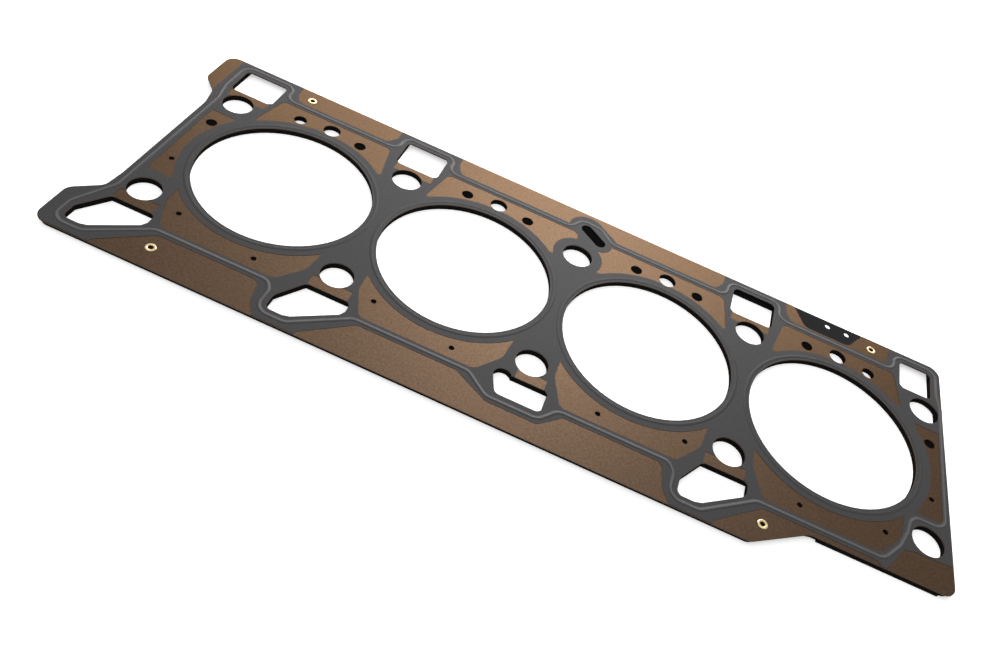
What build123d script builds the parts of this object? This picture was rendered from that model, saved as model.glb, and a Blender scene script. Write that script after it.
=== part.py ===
from build123d import *
import os

# Cylinder head gasket for a four-cylinder engine: coated steel top sheet on a black core.
# Frame: origin under the middle of the bore row, X along the row, Y across it, Z up.
# The gasket lies flat on its underside, at Z = 0. Lengths are in millimetres.

# Bores and the head bolts between them
bore_count = 4
bore_pitch = 96.0
bore_radius = 43.1
bolt_offset = 41.6
bolt_radius = 7.8

# Layers, and how far the core stands back from the top sheet's holes and outer edge
core_thickness = 2.8
sheet_thickness = 0.4
recess = 0.2
edge_recess = 2.0
core_corner = 3.5

# Printed sealing coat on the top sheet, with its raised bead lines
coat_thickness = 0.12
coat_setback = 0.3
coat_bolt_setback = 0.1
coat_corner = 1.8
bead_height = 0.22
bead_width = 1.6
bead_gap = 3.1
ring_land = 1.8
ring_slope = 2.0

# Outer edge of the gasket; a reach runs outwards from the centre of the outer bore,
# and the near lobe keeps a band beside its port
far_edge = 77.8
near_edge = -83.6
step_near_edge = -66.6
right_far_reach = 57.4
right_near_reach = 60.0
far_lobe_reach = 72.3
near_lobe_band = 9.3
step_reach = [(-7.0, step_near_edge), (-32.5, near_edge)]
left_waist = [(62.5, -49.5), (61.5, -38.0), (61.5, 32.5), (63.7, 43.5)]
edge_corner = 6.0
far_lobe_foot = 52.5
near_lobe_top = -60.0

# Ports stand in columns beside the bolts, a little closer together than the bores
port_pitch_less = 0.8
far_port_width = 23.4
far_port_height = 19.6
far_port_y = 61.5
end_port_width = 17.4
port_corner = 3.0
near_port_far_y = -53.7
near_port_outline = [
    (-9.7, 0.0),
    (11.7, 0.0),
    (11.7, -8.1),
    (-8.3, -22.7),
    (-18.3, -22.7),
    (-18.3, -13.9),
]
middle_port_outline = [(-13.9, -3.3), (-9.9, -13.2), (11.7, -13.2), (11.7, 0.0), (-5.2, 0.0)]
middle_port_bump = (-9.6, -2.3)
middle_port_bump_radius = 4.3

# How the core's far ports and its near edge beside the step differ from the top sheet's
far_port_relief = 3.4
far_port_ledge = 1.2
step_ledge = [(-3.0, 0.3), (53.0, 0.3), (55.5, 3.0), (-3.0, 3.0)]

# Oil slot beside the middle bolts
slot_x = 3.7
slot_y = 62.0
slot_length = 17.3
slot_width = 6.3
slot_angle = -37.0
slot_band = 3.7
slot_boss = 6.9

# Coolant holes on the far side of each bore: large one in the middle, small ones beside it
coolant_y = 53.3
coolant_radius = 4.6
coolant_side_x = 17.1
coolant_side_y = 50.9
coolant_side_radius = 3.1
coolant_end_radius = 3.4

# Vent holes on the near side of each bore and at the two ends
vent_radius = 1.35
vent_outer = (-27.5, -47.0)
vent_inner = (12.9, -53.3)
end_hole_reach = 50.3
end_hole_y = 19.6
end_hole_radius = 2.8
end_vent_y = -16.0

# Sides of the small holes and of the coat's bolt holes, many enough to look round
vent_sides = 12
small_hole_sides = 16
coat_hole_sides = 24

# Window in the far edge that shows the core's thin tab with its two small holes
window_reach = -6.8
window_top = 39.2
window_floor = 25.0
window_y = 65.2
window_corner = 5.0
window_hole_x = (0.3, 11.2)
window_hole_y = 74.0
window_hole_radius = 1.6
tab_overhang = 0.4
tab_thickness = 0.6
tab_seat = 2.5

# Bands of the sealing coat
ring_width = 6.1
strip_width = 4.8
far_strip_y = 62.0
near_strip_y = -61.6
port_band = 6.3
bolt_band = 5.4
middle_boss = [
    (-29.0, -52.0),
    (-29.0, -64.0),
    (-12.0, -73.3),
    (12.0, -73.3),
    (21.5, -64.0),
    (21.5, -52.0),
]

# Bare fields between the bands; an inner field keeps its gaps from the lines of the bolts
field_corner = 4.0
inner_corner = 1.6
far_field_lean = 3.5
far_field_top_gap = 17.0
far_field_foot_gap = 12.5
far_field_foot_y = 35.6
slot_field_reach = 12.5
near_field_left = [(11.5, -43.2), (11.5, -28.0)]
near_field_right = [(11.0, -28.0), (13.0, -46.2)]
near_field_foot_gaps = (18.5, 22.5)
outer_field_start = (19.5, -8.0)
outer_field_end = (-17.5, -27.3)
outer_field_knee = (-25.0, -76.4)
step_field_reach = 26.0
step_patch = [
    (28.0, -70.0),
    (28.0, -66.5),
    (36.0, -52.0),
    (42.0, -50.5),
    (62.0, -50.0),
    (62.0, -70.0),
]
end_field_reach = 49.2
end_field_y = 0.6
end_field_width = 12.6
end_field_length = 57.4
end_field_gap = 1.3
far_lobe_field = 40.0
far_patch = (21.0, 5.6)
near_patch = (19.5, 6.4)
middle_patch = (14.0, 6.0)
middle_patch_x = 2.4

# Route of the bead line: right end, over the slot, down the left end and under each port
right_bead = [(56.8, 0.0), (56.8, 47.0), (55.2, 56.0)]
slot_bead = [(10.8, 0.0), (2.8, 8.0), (-8.2, 9.2), (-13.2, 0.0)]
left_bead = [(61.2, 52.0), (58.6, 40.0), (58.6, -46.0)]
near_bead = [(-24.5, 0.0), (-21.4, -5.0), (-21.4, -17.9), (-7.3, -17.9), (16.5, 0.0)]
middle_bead = [(-24.0, 0.0), (-13.0, -9.0), (11.5, -9.0), (18.5, 0.0)]
closing_bead = [
    (27.0, near_strip_y),
    (34.6, -51.0),
    (38.1, -42.0),
    (39.6, -34.5),
    (42.5, -31.0),
    (56.8, -31.0),
    (56.8, 0.0),
]

# Heights of the layers, from the underside up
top_z = core_thickness
coat_z = top_z + sheet_thickness
bead_z = coat_z + coat_thickness

# Places along the row
bore_x = [(i - (bore_count - 1) / 2) * bore_pitch for i in range(bore_count)]
bolt_x = [(i - bore_count / 2) * bore_pitch for i in range(bore_count + 1)]
port_x = [(i - bore_count / 2) * (bore_pitch - port_pitch_less) for i in range(bore_count + 1)]
middle_column = bore_count // 2
far_ports = [i for i in range(bore_count + 1) if i != middle_column]
near_ports = far_ports[:-1]
ledge_port = far_ports[-2]
end_x = bore_x[-1]
near_lobe_edge = port_x[0] + min(u for u, v in near_port_outline) - near_lobe_band
window_x = end_x + window_reach
far_port_top = far_port_y + far_port_height / 2
far_port_foot = far_port_y - far_port_height / 2
ring_radius = bore_radius + ring_width
bore_places = [(x, 0) for x in bore_x]
bolt_places = [(x, side * bolt_offset) for x in bolt_x for side in (1, -1)]
coolant_places = [(x, coolant_y) for x in bore_x]
side_places = [(x + side * coolant_side_x, coolant_side_y) for x in bore_x for side in (-1, 1)]
coolant_end_places = [side_places.pop(0), side_places.pop()]
vents = (vent_outer, vent_inner)
vent_places = [(x + (u if x < 0 else -u), v) for x in bore_x for u, v in vents]
end_hole_places = [(side * (end_x + end_hole_reach), end_hole_y) for side in (-1, 1)]
end_vent_places = [(side * (end_x + end_hole_reach), end_vent_y) for side in (-1, 1)]
window_hole_places = [(window_x + u, window_hole_y) for u in window_hole_x]

# How far a cutting outline runs past the edge that it cuts
beyond = 4.0


def shifted(points, x, y):
    """The points moved by x and y."""
    return [(u + x, v + y) for u, v in points]


def left_end(points):
    """Points given by their reach beyond the leftmost bore's centre."""
    return [(-end_x - u, v) for u, v in points]


def rounded(points, radius):
    """The face inside a closed outline, with its corners rounded."""
    with BuildSketch() as shape:
        with BuildLine():
            Polyline(*points, close=True)
        make_face()
        if radius:
            fillet(shape.vertices(), radius)
    return shape.sketch


def clipped(points, length):
    """The face inside a closed outline, with its corners cut off."""
    with BuildSketch() as shape:
        with BuildLine():
            Polyline(*points, close=True)
        make_face()
        chamfer(shape.vertices(), length)
    return shape.sketch


def discs(places, radius, sides=0):
    """Equal circles at the places, or polygons of that many sides."""
    with BuildSketch() as shape:
        with Locations(*places):
            if sides:
                RegularPolygon(radius, sides)
            else:
                Circle(radius)
    return shape.sketch


def outline(inset, cut, size):
    """The gasket's outer edge, moved inwards by inset, its corners made by cut."""
    corners = [
        (end_x + right_far_reach, far_edge),
        (end_x + right_near_reach, step_near_edge),
        *shifted(step_reach, end_x, 0),
        (near_lobe_edge, near_edge),
        (near_lobe_edge, near_lobe_top),
        *left_end(left_waist),
        *left_end([(far_lobe_reach, far_lobe_foot), (far_lobe_reach, far_edge)]),
    ]
    with BuildSketch() as shape:
        add(cut(corners, size))
        if inset:
            offset(amount=-inset)
    return shape.sketch


def far_port_sides(index):
    """The X of a far port's left and right sides."""
    left = port_x[index] - far_port_width / 2
    width = end_port_width if index == bore_count else far_port_width
    return left, left + width


def far_port(index, rise):
    """The outline of a rectangular far port; rise moves its far edge outwards."""
    left, right = far_port_sides(index)
    top = far_port_top + rise
    return [(left, far_port_foot), (right, far_port_foot), (right, top), (left, top)]


def middle_port():
    """The drain port under the middle bolt, with the round bump at its far left corner."""
    points = shifted(middle_port_outline, 0, near_port_far_y)
    with BuildSketch() as shape:
        add(rounded(points, 0))
        fillet(shape.vertices().group_by(Axis.Y)[0] + shape.vertices().sort_by(Axis.X)[-1:], port_corner)
        with Locations((middle_port_bump[0], near_port_far_y + middle_port_bump[1])):
            Circle(middle_port_bump_radius)
    return shape.sketch


def ports(cut, size, rise=0.0, ledge=0.0):
    """All the ports, their corners made by cut; rise and ledge move the far ports' far edges."""
    with BuildSketch() as shape:
        for index in far_ports:
            add(cut(far_port(index, -ledge if index == ledge_port else rise), size))
        for index in near_ports:
            add(cut(shifted(near_port_outline, port_x[index], near_port_far_y), size))
        add(middle_port())
    return shape.sketch


def slot(extra):
    """The slanted oil slot, widened all round by extra."""
    with BuildSketch() as shape:
        with Locations((slot_x, slot_y)):
            SlotOverall(slot_length + 2 * extra, slot_width + 2 * extra, rotation=slot_angle)
    return shape.sketch


def window():
    """The notch in the top sheet's far edge."""
    half = [(window_top / 2, far_edge + beyond), (window_top / 2, far_edge), (window_floor / 2, window_y)]
    points = half + [(-u, v) for u, v in reversed(half)]
    with BuildSketch() as shape:
        add(rounded(shifted(points, window_x, 0), 0))
        fillet(shape.vertices().group_by(Axis.Y)[0], window_corner)
    return shape.sketch


def tab(seat):
    """The core's tab in the window, from the seat in front of it to past the far edge."""
    length = far_edge + tab_overhang - window_y + seat
    with BuildSketch() as shape:
        with Locations((window_x, far_edge + tab_overhang)):
            Rectangle(window_top, length, align=(Align.CENTER, Align.MAX))
    return shape.sketch


def far_fields():
    """The bare fields between the far strip and the far edge."""
    foot = far_strip_y + strip_width / 2
    with BuildSketch() as shape:
        for first, last in zip(far_ports, far_ports[1:]):
            start = far_port_sides(first)[1] + port_band
            end = far_port_sides(last)[0] - port_band
            points = [
                (start, far_edge + beyond),
                (start, far_port_top),
                (start + far_field_lean, foot),
                (end - far_field_lean, foot),
                (end, far_port_top),
                (end, far_edge + beyond),
            ]
            add(rounded(points, field_corner))
        add(slot(slot_boss), mode=Mode.SUBTRACT)
    return shape.sketch


def near_fields():
    """The bare fields between the near strip and the near edge."""
    top = near_strip_y - strip_width / 2
    foot = near_edge - beyond
    with BuildSketch() as shape:
        for index, following in zip(near_ports, far_ports[1:]):
            start = [(outer_field_start[0], top), (outer_field_start[1], foot)]
            if index == near_ports[-1]:
                end = [(end_x + step_field_reach, foot), (end_x + step_field_reach, top)]
            else:
                end = [(outer_field_end[0], foot), outer_field_knee, (outer_field_end[1], top)]
                end = shifted(end, port_x[following], 0)
            add(rounded(shifted(start, port_x[index], 0) + end, field_corner))
        add(rounded(shifted(step_patch, end_x, 0), 0))
        add(rounded(middle_boss, field_corner), mode=Mode.SUBTRACT)
    return shape.sketch


def inner_fields():
    """The bare fields between the strips and the bores' rings."""
    half = bore_pitch / 2
    top = far_strip_y - strip_width / 2
    foot = near_strip_y + strip_width / 2
    left_foot, right_foot = near_field_foot_gaps
    near = [(left_foot - half, foot)]
    near += [(gap - half, v) for gap, v in near_field_left]
    near += [(half - gap, v) for gap, v in near_field_right]
    near += [(half - right_foot, foot)]
    with BuildSketch() as shape:
        for x in bore_x:
            side = 1 if x < 0 else -1
            reach = slot_field_reach if abs(x) < bore_pitch else 0
            far = [
                (far_field_top_gap - half, top),
                (half - far_field_top_gap + reach, top),
                (half - far_field_foot_gap + reach, far_field_foot_y),
                (far_field_foot_gap - half, far_field_foot_y),
            ]
            add(clipped([(x + side * u, v) for u, v in far], inner_corner))
            add(clipped(shifted(near, x, 0), inner_corner))
        add(discs(bore_places, ring_radius), mode=Mode.SUBTRACT)
        add(discs([(0, bolt_offset)], bolt_radius + bolt_band), mode=Mode.SUBTRACT)
        add(slot(slot_band), mode=Mode.SUBTRACT)
    return shape.sketch


def end_fields():
    """The bare strips at the two ends and the bare lobe at the far left corner."""
    end = end_x + end_field_reach
    with BuildSketch() as shape:
        with Locations((-end, end_field_y), (end, end_field_y)):
            Rectangle(end_field_width, end_field_length)
        add(discs([bore_places[0], bore_places[-1]], ring_radius + end_field_gap), mode=Mode.SUBTRACT)
        with Locations((far_port_sides(0)[0] - port_band, far_edge)):
            Rectangle(far_lobe_field, far_lobe_field, align=(Align.MAX, Align.MAX))
    return shape.sketch


def patches():
    """The small bare patches between each bolt hole and the port behind it."""
    with BuildSketch() as shape:
        with Locations(*[(port_x[index], far_port_foot) for index in near_ports]):
            Rectangle(*far_patch, align=(Align.CENTER, Align.MAX))
        with Locations(*[(port_x[index], near_port_far_y) for index in near_ports]):
            Rectangle(*near_patch, align=(Align.CENTER, Align.MIN))
        with Locations((middle_patch_x, near_port_far_y)):
            Rectangle(*middle_patch, align=(Align.CENTER, Align.MIN))
    return shape.sketch


def bead_route():
    """Corners of the bead line, once round the gasket from the right end over the far side."""
    crest = far_port_top + bead_gap
    corners = shifted(right_bead, end_x, 0)
    corners.append((corners[-1][0], crest))
    for index in reversed(far_ports):
        left, right = far_port_sides(index)
        if index < bore_count:
            corners += [(right + bead_gap, far_strip_y), (right + bead_gap, crest)]
        if index > 0:
            corners += [(left - bead_gap, crest), (left - bead_gap, far_strip_y)]
        if index == ledge_port:
            corners += shifted(slot_bead, slot_x, far_strip_y)
    corners += left_end([(left_bead[0][0], crest), *left_bead])
    routes = [near_bead if index in near_ports else middle_bead for index in range(bore_count)]
    routes[0] = near_bead[1:]
    for index, route in enumerate(routes):
        corners += shifted(route, port_x[index], near_strip_y)
    return corners + shifted(closing_bead, end_x, 0)


def edge_bead():
    """The raised ridge along the bead line."""
    with BuildLine(Plane.XY.offset(bead_z)) as route:
        Polyline(*bead_route())
    line = route.wire()
    across = Vector(0, 0, 1).cross(line % 0)
    with BuildSketch(Plane(line @ 0, x_dir=across, z_dir=line % 0)) as section:
        Polygon((-bead_width / 2, 0), (bead_width / 2, 0), (0, bead_height), align=None)
    return sweep(section.sketch, path=line, transition=Transition.RIGHT)


def ring_bead(x):
    """The raised ring beside the bore at x, flat at the bore's edge and sloping outwards."""
    corners = [(0, 0), (ring_land + ring_slope, 0), (ring_land, bead_height), (0, bead_height)]
    edge = (x + bore_radius, 0, bead_z)
    with BuildSketch(Plane(edge, x_dir=(1, 0, 0), z_dir=(0, -1, 0))) as section:
        Polygon(*corners, align=None)
    return revolve(section.sketch, axis=Axis((x, 0, 0), (0, 0, 1)))


# Top sheet
with BuildPart() as top_sheet:
    with BuildSketch(Plane.XY.offset(top_z)):
        add(outline(0, rounded, edge_corner))
        add(discs(bore_places, bore_radius), mode=Mode.SUBTRACT)
        add(discs(bolt_places, bolt_radius), mode=Mode.SUBTRACT)
        add(ports(rounded, port_corner), mode=Mode.SUBTRACT)
        add(slot(0), mode=Mode.SUBTRACT)
        add(discs(coolant_places, coolant_radius, small_hole_sides), mode=Mode.SUBTRACT)
        add(discs(side_places, coolant_side_radius, small_hole_sides), mode=Mode.SUBTRACT)
        add(discs(coolant_end_places, coolant_end_radius, small_hole_sides), mode=Mode.SUBTRACT)
        add(discs(end_hole_places, end_hole_radius, small_hole_sides), mode=Mode.SUBTRACT)
        add(discs(vent_places + end_vent_places, vent_radius, vent_sides), mode=Mode.SUBTRACT)
        add(window(), mode=Mode.SUBTRACT)
    extrude(amount=sheet_thickness)

# Sealing coat
with BuildPart() as sealing_coat:
    with BuildSketch(Plane.XY.offset(coat_z)):
        add(outline(coat_setback, rounded, edge_corner))
        add(discs(bore_places, bore_radius), mode=Mode.SUBTRACT)
        add(discs(bolt_places, bolt_radius + coat_bolt_setback, coat_hole_sides), mode=Mode.SUBTRACT)
        add(ports(clipped, coat_corner), mode=Mode.SUBTRACT)
        add(slot(0), mode=Mode.SUBTRACT)
        add(far_fields(), mode=Mode.SUBTRACT)
        add(near_fields(), mode=Mode.SUBTRACT)
        add(inner_fields(), mode=Mode.SUBTRACT)
        add(end_fields(), mode=Mode.SUBTRACT)
        add(patches(), mode=Mode.SUBTRACT)
        add(discs(coolant_places, coolant_radius + coat_setback, small_hole_sides), mode=Mode.SUBTRACT)
    extrude(amount=coat_thickness)
    add([edge_bead()] + [ring_bead(x) for x in bore_x])

# Core: the black layers under the top sheet, held together as one; its top layer ends as a thin tab
with BuildPart() as core:
    with BuildSketch():
        add(outline(edge_recess, clipped, core_corner))
        add(rounded(shifted(step_ledge, end_x, step_near_edge), 0))
        add(tab(tab_seat))
        add(discs(bore_places, bore_radius + recess), mode=Mode.SUBTRACT)
        add(discs(bolt_places, bolt_radius), mode=Mode.SUBTRACT)
        add(ports(rounded, 0, far_port_relief, far_port_ledge), mode=Mode.SUBTRACT)
        add(discs(coolant_places, coolant_radius + recess, small_hole_sides), mode=Mode.SUBTRACT)
        add(discs(coolant_end_places, coolant_end_radius + recess, small_hole_sides), mode=Mode.SUBTRACT)
        add(discs(window_hole_places, window_hole_radius, small_hole_sides), mode=Mode.SUBTRACT)
    extrude(amount=core_thickness)
    with BuildSketch():
        add(tab(0))
    extrude(amount=core_thickness - tab_thickness, mode=Mode.SUBTRACT)

top_sheet.part.label = "top_sheet"
sealing_coat.part.label = "sealing_coat"
core.part.label = "core"

os.makedirs("parts", exist_ok=True)
export_step(top_sheet.part, "parts/top_sheet.step")
export_step(sealing_coat.part, "parts/sealing_coat.step")
export_step(core.part, "parts/core.step")
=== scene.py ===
import math

import bpy
from mathutils import Matrix, Vector


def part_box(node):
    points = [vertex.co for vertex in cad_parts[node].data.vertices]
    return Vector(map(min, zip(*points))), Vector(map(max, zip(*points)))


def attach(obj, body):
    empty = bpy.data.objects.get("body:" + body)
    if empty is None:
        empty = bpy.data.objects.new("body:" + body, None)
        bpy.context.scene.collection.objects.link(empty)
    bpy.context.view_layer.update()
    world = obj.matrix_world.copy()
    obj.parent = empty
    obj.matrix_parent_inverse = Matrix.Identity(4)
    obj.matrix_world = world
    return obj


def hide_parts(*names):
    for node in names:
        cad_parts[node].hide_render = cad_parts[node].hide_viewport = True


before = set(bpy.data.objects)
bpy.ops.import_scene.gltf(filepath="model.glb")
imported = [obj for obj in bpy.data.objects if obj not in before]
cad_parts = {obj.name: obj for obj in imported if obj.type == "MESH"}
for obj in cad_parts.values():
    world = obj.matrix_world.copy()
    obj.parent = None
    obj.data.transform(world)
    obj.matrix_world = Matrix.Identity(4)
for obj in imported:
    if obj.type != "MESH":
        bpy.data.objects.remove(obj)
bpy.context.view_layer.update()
scene = bpy.context.scene
MM = 0.001

# The photo's camera, fitted to the lattice of bores and bolt holes
CAMERA_PLACE = Vector((-8.5, -327.0, 296.1)) * MM
CAMERA_AIM = Vector((-18.8, -32.2, 3.2)) * MM
CAMERA_ROLL = math.radians(22.82)
CAMERA_LENS = 32.9

# Sizes that repeat the source's, in millimetres
CORE_THICKNESS = 2.8
COAT_THICKNESS = 0.12
BORE_COUNT = 4
BORE_PITCH = 96.0
BORE_RADIUS = 43.1
END_X = (BORE_COUNT - 1) / 2 * BORE_PITCH
PORT_PITCH_LESS = 0.8
PORT_PITCH = BORE_PITCH - PORT_PITCH_LESS
PORT_WIDTH = 23.4
END_PORT_WIDTH = 17.4
BEAD_GAP = 3.1
STRIP_FAR_Y = 62.0
STRIP_NEAR_Y = -61.6
SLOT_X = 3.7

# The places of the faces, taken from the frame in metres
SHEET_LOW, SHEET_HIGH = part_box("top_sheet")
FACE_Z = SHEET_HIGH.z
BEAD_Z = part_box("sealing_coat")[0].z + COAT_THICKNESS * MM

# The smooth beads, in millimetres. Their feet sink a little into the coat, and their crests carry a painted
# highlight that makes them lighter
BEAD_WIDTH = 2.4
BEAD_HEIGHT = 0.2
BEAD_SINK = 0.005
BEAD_POINTS = 11
BEAD_BEND = 6.0
BEND_SHARE = 0.45
FAR_CREST_Y = 74.4
CREST_START = 0.55
RING_BEAD_HEIGHT = 0.13
RING_BEAD_SETBACK = 2.1
RING_STEP = 2

# A face looks up where its normal's Z is over FACING, and down where it is under the negative of that
FACING = 0.5

# Points this near to a height are taken to lie on it
LEVEL_REACH = 0.01 * MM

# The core's rim, in millimetres inwards from the top sheet's outer edge, with a gap over and under it
RIM_START, RIM_END = 1.4, 3.2
RIM_GAP = 0.02

# Heights on the core's walls between which a thin line of its layers shows
LAYER_LINES = ((0.85, 1.0), (1.8, 1.95))

# The core's top is charcoal past WINDOW_X and WINDOW_Y, and black elsewhere, a painted shade for the holes
# that look down onto it; FAR_LIMIT is past its far edge
WINDOW_X, WINDOW_Y = 115.0, 64.5
FAR_LIMIT = 80.0

# The eyelets' places, and the profiles, as radius and height above the sheet's face, of their flanges and
# of the dark disc painted as shade in each hole
EYELETS = [(-163.7, 70.0), (-169.4, -72.2), (115.6, -72.2), (162.3, 70.0)]
EYELET_FLANGE = [(1.25, 0.01), (1.25, 0.2), (1.4, 0.28), (2.15, 0.28), (2.4, 0.2), (2.45, 0.01)]
EYELET_SHADE_DISC = [(1.3, 0.005), (1.3, 0.02)]
EYELET_SIDES = 48

# Colours of the coat on the flat, and of the painted highlight on the crests of its beads
COAT = (0.047, 0.045, 0.046)
EDGE_CREST_HIGHLIGHT = (0.105, 0.102, 0.104)
RING_CREST_HIGHLIGHT = (0.056, 0.054, 0.055)

# Colours of the brown sheet, the painted glint on its cut edges and underside, the core and the eyelets
BRONZE = (0.061, 0.0395, 0.026)
BRONZE_DARK, BRONZE_LIGHT = (0.052, 0.0335, 0.022), (0.07, 0.0455, 0.03)
BRONZE_TINT = (0.75, 0.58, 0.45)
CUT_EDGE_GLINT = (0.1, 0.075, 0.06)
# BLACK also serves as a painted shade on the core's top, where holes look down onto it
BLACK = (0.004, 0.004, 0.004)
CHARCOAL = (0.022, 0.022, 0.023)
LAYER_LINE = (0.035, 0.03, 0.027)
BRASS = (0.55, 0.43, 0.25)
# The dark disc in each eyelet's hole is a painted shade
EYELET_PAINTED_SHADE = (0.012, 0.009, 0.006)

# The world and the floor, which lies just under the object and glows for the camera only
WORLD_GREY = (0.5, 0.5, 0.5)
WHITE = (1.0, 1.0, 1.0)
FLOOR_WHITE = (0.95, 0.95, 0.95)
FLOOR_GLOW = 0.5
FLOOR_SIZE = 8.0
FLOOR_DROP = 0.02 * MM


def principled(name, color, roughness, metallic=0.0, specular=0.5):
    """A material of one colour."""
    material = bpy.data.materials.new(name)
    material.use_nodes = True
    shader = material.node_tree.nodes["Principled BSDF"]
    shader.inputs["Base Color"].default_value = (*color, 1.0)
    shader.inputs["Roughness"].default_value = roughness
    shader.inputs["Metallic"].default_value = metallic
    shader.inputs["Specular IOR Level"].default_value = specular
    return material


def base_color(material):
    """The socket that a material takes its colour from."""
    return material.node_tree.nodes["Principled BSDF"].inputs["Base Color"]


def noise(tree, scale, detail=4.0):
    """A noise in the object's own coordinates."""
    texture = tree.nodes.new("ShaderNodeTexNoise")
    texture.inputs["Scale"].default_value = scale
    texture.inputs["Detail"].default_value = detail
    place = tree.nodes.new("ShaderNodeTexCoord")
    tree.links.new(place.outputs["Object"], texture.inputs["Vector"])
    return texture.outputs["Fac"]


def parts_of(tree, vector):
    """The X, Y and Z outputs of a vector."""
    node = tree.nodes.new("ShaderNodeSeparateXYZ")
    tree.links.new(vector, node.inputs[0])
    return node.outputs


def calculated(tree, operation, *sources):
    """The result of one step of arithmetic; each source is a socket or a number."""
    node = tree.nodes.new("ShaderNodeMath")
    node.operation = operation
    for socket, source in zip(node.inputs, sources):
        if isinstance(source, float):
            socket.default_value = source
        else:
            tree.links.new(source, socket)
    return node.outputs[0]


def share(tree, value, low, high):
    """How far the value has come from low to high, from 0 to 1."""
    node = tree.nodes.new("ShaderNodeMapRange")
    node.inputs["From Min"].default_value = low
    node.inputs["From Max"].default_value = high
    tree.links.new(value, node.inputs["Value"])
    return node.outputs["Result"]


def ramp(tree, value, stops, interpolation="LINEAR"):
    """The colour at the value, from stops of place and colour."""
    node = tree.nodes.new("ShaderNodeValToRGB")
    elements = node.color_ramp.elements
    node.color_ramp.interpolation = interpolation
    while len(elements) < len(stops):
        elements.new(1.0)
    for element, (place, color) in zip(elements, stops):
        element.position = place
        element.color = (*color, 1.0)
    tree.links.new(value, node.inputs["Fac"])
    return node.outputs["Color"]


def mottle(material, dark, light, scale):
    """Lets the colour wander between dark and light."""
    tree = material.node_tree
    color = ramp(tree, noise(tree, scale), [(0.35, dark), (0.65, light)])
    tree.links.new(color, base_color(material))


def grain(material, scale, strength=0.3, depth=0.05 * MM):
    """Fine unevenness of the surface."""
    tree = material.node_tree
    bump = tree.nodes.new("ShaderNodeBump")
    bump.inputs["Strength"].default_value = strength
    bump.inputs["Distance"].default_value = depth
    tree.links.new(noise(tree, scale), bump.inputs["Height"])
    tree.links.new(bump.outputs["Normal"], tree.nodes["Principled BSDF"].inputs["Normal"])


def by_facing(material, top, other):
    """Colours the faces that look up by one socket, and all others by another or by a colour."""
    tree = material.node_tree
    normal = tree.nodes.new("ShaderNodeNewGeometry").outputs["True Normal"]
    mix = tree.nodes.new("ShaderNodeMix")
    mix.data_type = "RGBA"
    upward = calculated(tree, "GREATER_THAN", parts_of(tree, normal)["Z"], FACING)
    tree.links.new(upward, mix.inputs["Factor"])
    sockets = {socket.name: socket for socket in mix.inputs if socket.type == "RGBA"}
    tree.links.new(top, sockets["B"])
    if isinstance(other, tuple):
        sockets["A"].default_value = (*other, 1.0)
    else:
        tree.links.new(other, sockets["A"])
    result = next(socket for socket in mix.outputs if socket.type == "RGBA")
    tree.links.new(result, base_color(material))


def bronze_sheet():
    """The brown coated steel; its cut edges and underside are painted paler, a painted glint along the cut
    edges.
    """
    material = principled("bronze_sheet", BRONZE, roughness=0.42, metallic=0.95)
    mottle(material, BRONZE_DARK, BRONZE_LIGHT, scale=900.0)
    # Faces that don't look up take a paler colour, a painted glint on the cut edges
    by_facing(material, base_color(material).links[0].from_socket, CUT_EDGE_GLINT)
    shader = material.node_tree.nodes["Principled BSDF"]
    shader.inputs["Specular Tint"].default_value = (*BRONZE_TINT, 1.0)
    grain(material, scale=2500.0)
    return material


def grey_coat():
    """The dull elastomer print."""
    material = principled("grey_coat", COAT, roughness=0.45, specular=0.06)
    mottle(material, tuple(0.9 * c for c in COAT), tuple(1.1 * c for c in COAT), scale=1200.0)
    grain(material, scale=3000.0)
    return material


def grey_bead(name, height, crest, specular):
    """The coat on a bead of the height in millimetres, with a painted highlight that lightens it towards
    the crest.
    """
    material = principled(name, COAT, roughness=0.35, specular=specular)
    tree = material.node_tree
    place = parts_of(tree, tree.nodes.new("ShaderNodeTexCoord").outputs["Object"])
    # The crest's painted highlight grows with height, from CREST_START of the bead's height to its top
    rise = share(tree, place["Z"], BEAD_Z + CREST_START * height * MM, BEAD_Z + height * MM)
    tree.links.new(ramp(tree, rise, [(0.0, COAT), (1.0, crest)]), base_color(material))
    return material


def stripes(tree, value, high, stops):
    """Plain stripes of colour along a coordinate, each from its place in millimetres."""
    stops = [(place / high, color) for place, color in stops]
    return ramp(tree, share(tree, value, 0.0, high * MM), stops, "CONSTANT")


def black_core():
    """Black, with the thin lines of its layers in the hole walls; its top is charcoal in the window and
    black elsewhere, a painted shade in the holes above it.
    """
    material = principled("black_core", BLACK, roughness=0.5, specular=0.0)
    tree = material.node_tree
    place = parts_of(tree, tree.nodes.new("ShaderNodeTexCoord").outputs["Object"])
    layers = [(0.0, BLACK)]
    for low, high in LAYER_LINES:
        layers += [(low, LAYER_LINE), (high, BLACK)]
    walls = stripes(tree, place["Z"], CORE_THICKNESS, layers)
    aside = calculated(tree, "SUBTRACT", place["X"], (WINDOW_X - WINDOW_Y) * MM)
    window = calculated(tree, "MINIMUM", place["Y"], aside)
    # Away from the window the top is painted black, the painted shade seen down the holes above it
    top = stripes(tree, window, FAR_LIMIT, [(0.0, BLACK), (WINDOW_Y, CHARCOAL)])
    by_facing(material, top, walls)
    return material


def paint(node, material):
    """Puts the material on a CAD node."""
    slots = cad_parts[node].data.materials
    slots.clear()
    slots.append(material)


def mesh_piece(name, verts, faces, material, smooth=True):
    """A piece of the object that rides on its one body; its underside is shaded flat."""
    mesh = bpy.data.meshes.new(name)
    mesh.from_pydata([tuple(v) for v in verts], [], faces)
    mesh.validate()
    for polygon in mesh.polygons:
        polygon.use_smooth = smooth and polygon.normal.z > -FACING
    mesh.materials.append(material)
    piece = bpy.data.objects.new(name, mesh)
    scene.collection.objects.link(piece)
    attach(piece, "root")
    return piece


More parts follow.
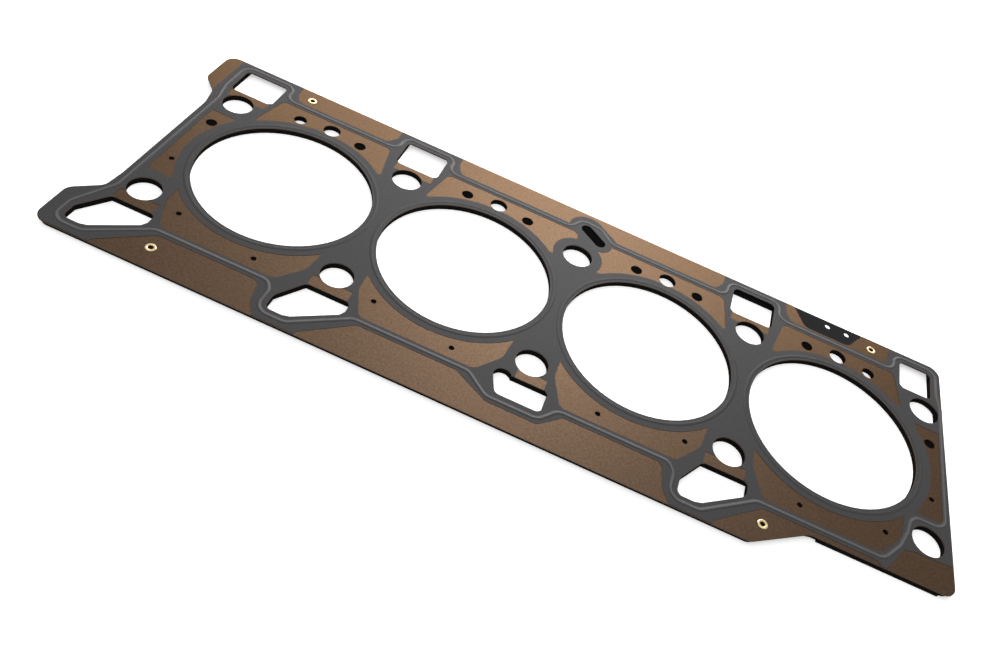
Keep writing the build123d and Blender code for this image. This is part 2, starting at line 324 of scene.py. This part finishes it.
def rounded_route(corners, radius, step=math.radians(6)):
    """The corner points joined by straight lines, with arcs that take at most BEND_SHARE of a line."""
    route = [Vector(corners[0])]
    for before, corner, after in zip(corners, corners[1:], corners[2:]):
        before, corner, after = Vector(before), Vector(corner), Vector(after)
        inward, outward = (corner - before).normalized(), (after - corner).normalized()
        turn = inward.angle_signed(outward)
        reach = radius * math.tan(abs(turn) / 2)
        limit = BEND_SHARE * min((corner - before).length, (after - corner).length)
        bend = radius * min(1.0, limit / reach)
        start = corner - inward * (bend * math.tan(abs(turn) / 2))
        side = Vector((-inward.y, inward.x)) * (-1.0 if turn > 0 else 1.0)
        centre = start + side * bend
        count = max(2, math.ceil(abs(turn) / step))
        for i in range(count + 1):
            spin = Matrix.Rotation(-turn * i / count, 2)
            route.append(centre + spin @ (start - centre))
    return route + [Vector(corners[-1])]


def rings(count, width):
    """The faces round a closed row of closed sections, each with width points."""
    faces = []
    for i in range(count):
        a, b = i * width, ((i + 1) % count) * width
        for j in range(width):
            k = (j + 1) % width
            faces.append((a + j, b + j, b + k, a + k))
    return faces


def bead(name, route, material, height):
    """A smooth raised bead along a closed flat route, all in millimetres."""
    across = [2.0 * i / (BEAD_POINTS - 1) - 1.0 for i in range(BEAD_POINTS)]
    verts = []
    for i, point in enumerate(route):
        along = (route[(i + 1) % len(route)] - route[i - 1]).normalized()
        normal = Vector((-along.y, along.x))
        for u in across:
            place = point + normal * (u * BEAD_WIDTH / 2)
            rise = height * (0.5 + 0.5 * math.cos(math.pi * u))
            verts.append((place.x * MM, place.y * MM, BEAD_Z + (rise - BEAD_SINK) * MM))
    mesh_piece(name, verts, rings(len(route), BEAD_POINTS), material)


def far_port_sides(index):
    """The left and right side of a far port, of which the last is narrower."""
    left = (index - 2) * PORT_PITCH - PORT_WIDTH / 2
    return left, left + (END_PORT_WIDTH if index == 4 else PORT_WIDTH)


def edge_route():
    """Corner points of the long bead, once round from the right end over the far side."""
    right_end = ((56.8, 0.0), (56.8, 47.0), (55.2, 56.0), (55.2, FAR_CREST_Y))
    over_slot = ((10.8, 0.0), (2.8, 8.0), (-8.2, 9.2), (-13.2, 0.0))
    left_end = ((61.2, FAR_CREST_Y), (61.2, 52.0), (58.6, 40.0), (58.6, -46.0))
    slanted = ((-24.5, 0.0), (-21.4, -5.0), (-21.4, -17.9), (-7.3, -17.9), (16.5, 0.0))
    middle = ((-24.0, 0.0), (-13.0, -9.0), (11.5, -9.0), (18.5, 0.0))
    near_corner = ((27.0, STRIP_NEAR_Y), (34.6, -51.0), (38.1, -42.0), (39.6, -34.5), (42.5, -31.0))
    closing = ((56.8, -31.0), (56.8, 0.0))

    corners = [(END_X + u, v) for u, v in right_end]
    for index in (4, 3, 1, 0):
        left, right = far_port_sides(index)
        if index < 4:
            corners += [(right + BEAD_GAP, STRIP_FAR_Y), (right + BEAD_GAP, FAR_CREST_Y)]
        if index > 0:
            corners += [(left - BEAD_GAP, FAR_CREST_Y), (left - BEAD_GAP, STRIP_FAR_Y)]
        if index == 3:
            corners += [(SLOT_X + u, STRIP_FAR_Y + v) for u, v in over_slot]
    corners += [(-END_X - u, v) for u, v in left_end]
    for index, part in enumerate((slanted[1:], slanted, middle, slanted)):
        corners += [((index - 2) * PORT_PITCH + u, STRIP_NEAR_Y + v) for u, v in part]
    return corners + [(END_X + u, v) for u, v in near_corner + closing]


def beads():
    """The long bead and one ring bead round each bore."""
    # Each bead's colour carries a painted highlight on its crest
    edge_grey = grey_bead("grey_bead", BEAD_HEIGHT, EDGE_CREST_HIGHLIGHT, specular=0.1)
    bead("edge_bead", rounded_route(edge_route(), BEAD_BEND)[:-1], edge_grey, BEAD_HEIGHT)
    ring_grey = grey_bead("grey_ring_bead", RING_BEAD_HEIGHT, RING_CREST_HIGHLIGHT, specular=0.04)
    radius = BORE_RADIUS + RING_BEAD_SETBACK
    angles = [math.radians(degrees) for degrees in range(0, 360, RING_STEP)]
    for index in range(BORE_COUNT):
        x = index * BORE_PITCH - END_X
        ring = [Vector((x + radius * math.cos(a), radius * math.sin(a))) for a in angles]
        bead(f"ring_bead_{index + 1}", ring, ring_grey, RING_BEAD_HEIGHT)


def flat_coat():
    """The CAD coat with its angular beads pressed flat, for the smooth ones to stand on."""
    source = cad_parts["sealing_coat"].data
    verts = [(v.co.x, v.co.y, min(v.co.z, BEAD_Z)) for v in source.vertices]
    faces = [tuple(p.vertices) for p in source.polygons]
    coat = mesh_piece("coat_print", verts, faces, grey_coat(), smooth=False)
    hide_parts("sealing_coat")


def outer_loop(node, height):
    """The outer outline of a CAD node's flat face at the height, as flat points in order."""
    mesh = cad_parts[node].data
    spots = [(round(v.co.x, 7), round(v.co.y, 7)) for v in mesh.vertices]
    level = [abs(v.co.z - height) < LEVEL_REACH for v in mesh.vertices]
    sides = set()
    for polygon in mesh.polygons:
        corners = list(polygon.vertices)
        if all(level[i] for i in corners):
            sides.update((spots[a], spots[b]) for a, b in zip(corners, corners[1:] + corners[:1]))
    border = {a: b for a, b in sides if (b, a) not in sides}
    loops = []
    while border:
        first = min(border)
        loop = [first]
        point = border.pop(first)
        while point != first:
            loop.append(point)
            point = border.pop(point)
        loops.append([Vector(spot) for spot in loop])
    return max(loops, key=lambda loop: max(p.x for p in loop) - min(p.x for p in loop))


def core_rim(material):
    """The edge of the black layers, a little inside the top sheet's outer edge."""
    loop = outer_loop("top_sheet", SHEET_LOW.z)
    low, high = RIM_GAP * MM, SHEET_LOW.z - RIM_GAP * MM
    verts = []
    for i, point in enumerate(loop):
        before = (point - loop[i - 1]).normalized()
        after = (loop[(i + 1) % len(loop)] - point).normalized()
        inward = Vector((before.y + after.y, -before.x - after.x))
        inward *= 2.0 / inward.length_squared
        for inset, z in ((RIM_END, low), (RIM_END, high), (RIM_START, high), (RIM_START, low)):
            place = point + inward * inset * MM
            verts.append((place.x, place.y, z))
    mesh_piece("core_rim", verts, rings(len(loop), 4), material, smooth=False)


def turned(centre, profile):
    """The points of a turned shape on the sheet's face, from pairs of radius and height."""
    verts = []
    for i in range(EYELET_SIDES):
        angle = -2 * math.pi * i / EYELET_SIDES
        for radius, height in profile:
            x = centre[0] + radius * math.cos(angle)
            y = centre[1] + radius * math.sin(angle)
            verts.append((x * MM, y * MM, FACE_Z + height * MM))
    return verts


def eyelets():
    """Four brass eyelets, each a turned flange round a dark disc that is a painted shade in its bore."""
    brass = principled("pale_brass", BRASS, roughness=0.3, metallic=1.0)
    dark = principled("eyelet_painted_shade", EYELET_PAINTED_SHADE, roughness=0.6, specular=0.0)
    flange_faces = rings(EYELET_SIDES, len(EYELET_FLANGE))
    count = 2 * EYELET_SIDES
    walls = [((j - 1) % count, (j + 1) % count, j, (j - 2) % count) for j in range(0, count, 2)]
    lids = [tuple(range(0, count, 2))[::-1], tuple(range(1, count, 2))]
    for i, place in enumerate(EYELETS):
        flange, bore = turned(place, EYELET_FLANGE), turned(place, EYELET_SHADE_DISC)
        mesh_piece(f"eyelet_{i + 1}", flange, flange_faces, brass)
        # The dark disc in the bore is a painted shade
        mesh_piece(f"eyelet_painted_shade_{i + 1}", bore, walls + lids, dark, smooth=False)


def area_light(name, place, aim, size, power):
    """A softbox at the place, in metres, turned towards the aim."""
    data = bpy.data.lights.new(name, "AREA")
    data.shape = "RECTANGLE"
    data.size, data.size_y = size
    data.energy = power
    light = bpy.data.objects.new(name, data)
    scene.collection.objects.link(light)
    light.location = place
    light.rotation_euler = (Vector(aim) - Vector(place)).to_track_quat("-Z", "Y").to_euler()


def white_world():
    """Plain light all round, and white where the camera, a gloss or a glass looks at it."""
    world = bpy.data.worlds.new("world")
    scene.world = world
    world.use_nodes = True
    tree = world.node_tree
    nodes, links = tree.nodes, tree.links
    nodes["Background"].inputs["Color"].default_value = (*WORLD_GREY, 1.0)
    white = nodes.new("ShaderNodeBackground")
    white.inputs["Color"].default_value = (*WHITE, 1.0)
    path = nodes.new("ShaderNodeLightPath").outputs
    seen = calculated(tree, "MAXIMUM", path["Is Camera Ray"], path["Is Glossy Ray"])
    seen = calculated(tree, "MAXIMUM", seen, path["Is Transmission Ray"])
    mix = nodes.new("ShaderNodeMixShader")
    links.new(seen, mix.inputs["Fac"])
    links.new(nodes["Background"].outputs[0], mix.inputs[1])
    links.new(white.outputs[0], mix.inputs[2])
    links.new(mix.outputs[0], nodes["World Output"].inputs["Surface"])


def floor():
    """A white floor that keeps the gasket's shadow."""
    material = principled("floor", FLOOR_WHITE, roughness=1.0, specular=0.0)
    tree = material.node_tree
    path = tree.nodes.new("ShaderNodeLightPath").outputs
    glow = calculated(tree, "MULTIPLY", path["Is Camera Ray"], FLOOR_GLOW)
    shader = tree.nodes["Principled BSDF"]
    shader.inputs["Emission Color"].default_value = (*WHITE, 1.0)
    tree.links.new(glow, shader.inputs["Emission Strength"])
    bpy.ops.mesh.primitive_plane_add(size=FLOOR_SIZE, location=(0, 0, -FLOOR_DROP))
    plane = bpy.context.object
    plane.name = "floor"
    plane.data.materials.append(material)


def camera():
    """The photo's camera."""
    data = bpy.data.cameras.new("camera")
    data.lens = CAMERA_LENS
    data.clip_start = 0.01
    data.clip_end = 50.0
    eye = bpy.data.objects.new("camera", data)
    scene.collection.objects.link(eye)
    look = (CAMERA_AIM - CAMERA_PLACE).to_track_quat("-Z", "Y").to_matrix()
    turn = look @ Matrix.Rotation(CAMERA_ROLL, 3, "Z")
    eye.matrix_world = Matrix.Translation(CAMERA_PLACE) @ turn.to_4x4()
    scene.camera = eye


black = black_core()
paint("top_sheet", bronze_sheet())
paint("core", black)
core_rim(black)
flat_coat()
beads()
eyelets()

white_world()
floor()
area_light("back_softbox", place=(-0.09, 1.0, 0.56), aim=(0.0, 0.05, 0.0), size=(1.2, 0.3), power=10.5)
area_light("high_softbox", place=(-0.02, 0.9, 0.82), aim=(0.0, 0.0, 0.0), size=(0.35, 0.2), power=4.5)
area_light("top_fill", place=(-0.3, -0.5, 1.2), aim=(0.0, 0.0, 0.0), size=(1.0, 1.0), power=4.0)
camera()

scene.view_settings.view_transform = "Standard"
